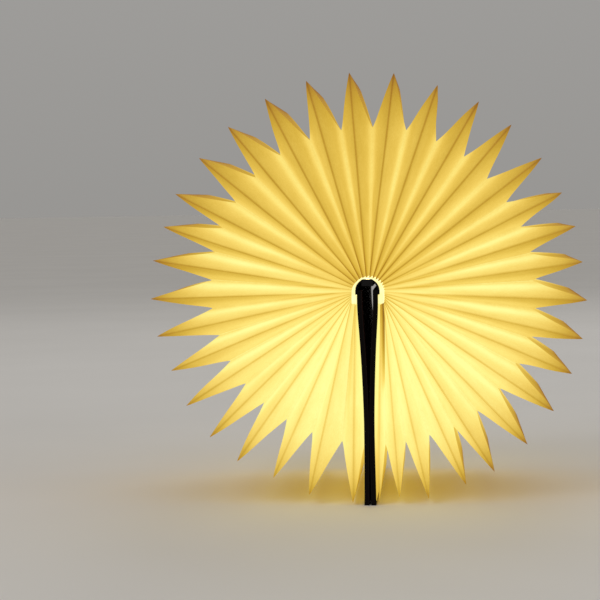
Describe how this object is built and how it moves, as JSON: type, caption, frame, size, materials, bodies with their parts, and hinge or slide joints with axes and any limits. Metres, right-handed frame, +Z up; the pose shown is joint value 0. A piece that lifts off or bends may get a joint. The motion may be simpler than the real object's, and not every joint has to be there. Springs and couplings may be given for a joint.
{
  "type": "folding book lamp",
  "caption": "Folding book lamp opened right round: pleated paper bellows fanned into a lit star about a slim light rail, standing on two back-to-back covers.",
  "frame": {"origin": "middle of the standing line of the two covers, on the surface the lamp stands on", "axes": "+Z up, the fold and the light rail run along Y, the paper star lies in XZ with its front looking along -Y"},
  "size_m": [0.3397, 0.215, 0.3374],
  "materials": {
    "bellows_paper": "translucent spun-fibre paper, lit warm from inside",
    "black_board": "black fibreboard, cut and stained edge",
    "brown_covering": "dark brown grained covering, satin",
    "hinge_strip": "matte flexible strip",
    "diffuser_silicone": "milky silicone, lit",
    "flex_circuit": "amber polyimide film",
    "led_package": "phosphor on white package",
    "led_board": "white solder mask",
    "rail_aluminium": "black anodised",
    "cap_plastic": "fine texture",
    "circuit_board": "green solder mask",
    "chip_plastic": "moulded",
    "port_steel": "drawn shell",
    "magnet_nickel": "nickel plated",
    "cell_pouch": "foil pouch"
  },
  "bodies": {
    "spine": {"light_rail": "rail_aluminium", "front_end_cap": "cap_plastic", "rear_end_cap": "cap_plastic", "top_led_board": "led_board", "top_leds": "led_package", "control_board": "circuit_board", "usb_port": "port_steel", "hall_sensor": "chip_plastic", "left_hinge_strip": "hinge_strip", "left_led_strip": "flex_circuit", "left_leds": "led_package", "left_diffuser": "diffuser_silicone", "right_hinge_strip": "hinge_strip", "right_led_strip": "flex_circuit", "right_leds": "led_package", "right_diffuser": "diffuser_silicone"},
    "left_cover": {"left_cover_board": "black_board", "left_cover_skin": "brown_covering", "left_end_paper": "bellows_paper", "left_cover_magnets": "magnet_nickel", "battery_cell": "cell_pouch", "battery_tape": "flex_circuit"},
    "right_cover": {"right_cover_board": "black_board", "right_cover_skin": "brown_covering", "right_end_paper": "bellows_paper", "right_cover_magnets": "magnet_nickel", "sensor_magnet": "magnet_nickel"},
    "paper_right_1": {"paper_right_1": "bellows_paper"},
    "paper_right_2": {"paper_right_2": "bellows_paper"},
    "paper_right_3": {"paper_right_3": "bellows_paper"},
    "paper_right_4": {"paper_right_4": "bellows_paper"},
    "paper_right_5": {"paper_right_5": "bellows_paper"},
    "paper_right_6": {"paper_right_6": "bellows_paper"},
    "paper_left_1": {"paper_left_1": "bellows_paper"},
    "paper_left_2": {"paper_left_2": "bellows_paper"},
    "paper_left_3": {"paper_left_3": "bellows_paper"},
    "paper_left_4": {"paper_left_4": "bellows_paper"},
    "paper_left_5": {"paper_left_5": "bellows_paper"},
    "paper_left_6": {"paper_left_6": "bellows_paper"}
  },
  "joints": [
    {"name": "left_cover_hinge", "type": "hinge", "parent": "spine", "child": "left_cover", "pos_m": [-0.01035, 0, 0.1715], "axis": [0, 1, 0], "range_deg": [0, 181], "deforming": ["left_hinge_strip", "left_led_strip", "left_leds", "left_diffuser"]},
    {"name": "left_fan_1", "type": "hinge", "parent": "spine", "child": "paper_left_1", "pos_m": [0.00263, 0, 0.17105], "axis": [0, 1, 0], "range_deg": [0, 15.33], "deforming": ["paper_left_1"]},
    {"name": "left_fan_2", "type": "hinge", "parent": "spine", "child": "paper_left_2", "pos_m": [0.00267, 0, 0.17208], "axis": [0, 1, 0], "range_deg": [0, 49.5], "deforming": ["paper_left_2"]},
    {"name": "left_fan_3", "type": "hinge", "parent": "spine", "child": "paper_left_3", "pos_m": [-0.00155, 0, 0.17098], "axis": [0, 1, 0], "range_deg": [0, 81.33], "deforming": ["paper_left_3"]},
    {"name": "left_fan_4", "type": "hinge", "parent": "spine", "child": "paper_left_4", "pos_m": [-0.00288, 0, 0.17299], "axis": [0, 1, 0], "range_deg": [0, 112.35], "deforming": ["paper_left_4"]},
    {"name": "left_fan_5", "type": "hinge", "parent": "spine", "child": "paper_left_5", "pos_m": [-0.00742, 0, 0.17146], "axis": [0, 1, 0], "range_deg": [0, 145.1], "deforming": ["paper_left_5"]},
    {"name": "left_fan_6", "type": "hinge", "parent": "spine", "child": "paper_left_6", "pos_m": [-0.00998, 0, 0.17091], "axis": [0, 1, 0], "range_deg": [0, 171.97], "deforming": ["paper_left_6"]},
    {"name": "right_cover_hinge", "type": "hinge", "parent": "spine", "child": "right_cover", "pos_m": [0.01035, 0, 0.1715], "axis": [0, -1, 0], "range_deg": [0, 181], "deforming": ["right_hinge_strip", "right_led_strip", "right_leds", "right_diffuser"]},
    {"name": "right_fan_1", "type": "hinge", "parent": "spine", "child": "paper_right_1", "pos_m": [-0.00685, 0, 0.1711], "axis": [0, -1, 0], "range_deg": [0, 19.14], "deforming": ["paper_right_1"]},
    {"name": "right_fan_2", "type": "hinge", "parent": "spine", "child": "paper_right_2", "pos_m": [-0.0002, 0, 0.17079], "axis": [0, -1, 0], "range_deg": [0, 52.28], "deforming": ["paper_right_2"]},
    {"name": "right_fan_3", "type": "hinge", "parent": "spine", "child": "paper_right_3", "pos_m": [0.00059, 0, 0.17185], "axis": [0, -1, 0], "range_deg": [0, 83.06], "deforming": ["paper_right_3"]},
    {"name": "right_fan_4", "type": "hinge", "parent": "spine", "child": "paper_right_4", "pos_m": [0.00449, 0, 0.17073], "axis": [0, -1, 0], "range_deg": [0, 113.96], "deforming": ["paper_right_4"]},
    {"name": "right_fan_5", "type": "hinge", "parent": "spine", "child": "paper_right_5", "pos_m": [0.00808, 0, 0.16958], "axis": [0, -1, 0], "range_deg": [0, 146.34], "deforming": ["paper_right_5"]},
    {"name": "right_fan_6", "type": "hinge", "parent": "spine", "child": "paper_right_6", "pos_m": [0.01008, 0, 0.17011], "axis": [0, -1, 0], "range_deg": [0, 172.38], "deforming": ["paper_right_6"]}
  ],
  "couplings": [
    {"joint": "left_fan_1", "follows": "left_cover_hinge", "ratio": 0.084427},
    {"joint": "left_fan_2", "follows": "left_cover_hinge", "ratio": 0.27318},
    {"joint": "left_fan_3", "follows": "left_cover_hinge", "ratio": 0.44907},
    {"joint": "left_fan_4", "follows": "left_cover_hinge", "ratio": 0.62045},
    {"joint": "left_fan_5", "follows": "left_cover_hinge", "ratio": 0.8014},
    {"joint": "left_fan_6", "follows": "left_cover_hinge", "ratio": 0.94982},
    {"joint": "right_fan_1", "follows": "right_cover_hinge", "ratio": 0.10548},
    {"joint": "right_fan_2", "follows": "right_cover_hinge", "ratio": 0.28856},
    {"joint": "right_fan_3", "follows": "right_cover_hinge", "ratio": 0.45864},
    {"joint": "right_fan_4", "follows": "right_cover_hinge", "ratio": 0.62936},
    {"joint": "right_fan_5", "follows": "right_cover_hinge", "ratio": 0.80821},
    {"joint": "right_fan_6", "follows": "right_cover_hinge", "ratio": 0.9521}
  ]
}
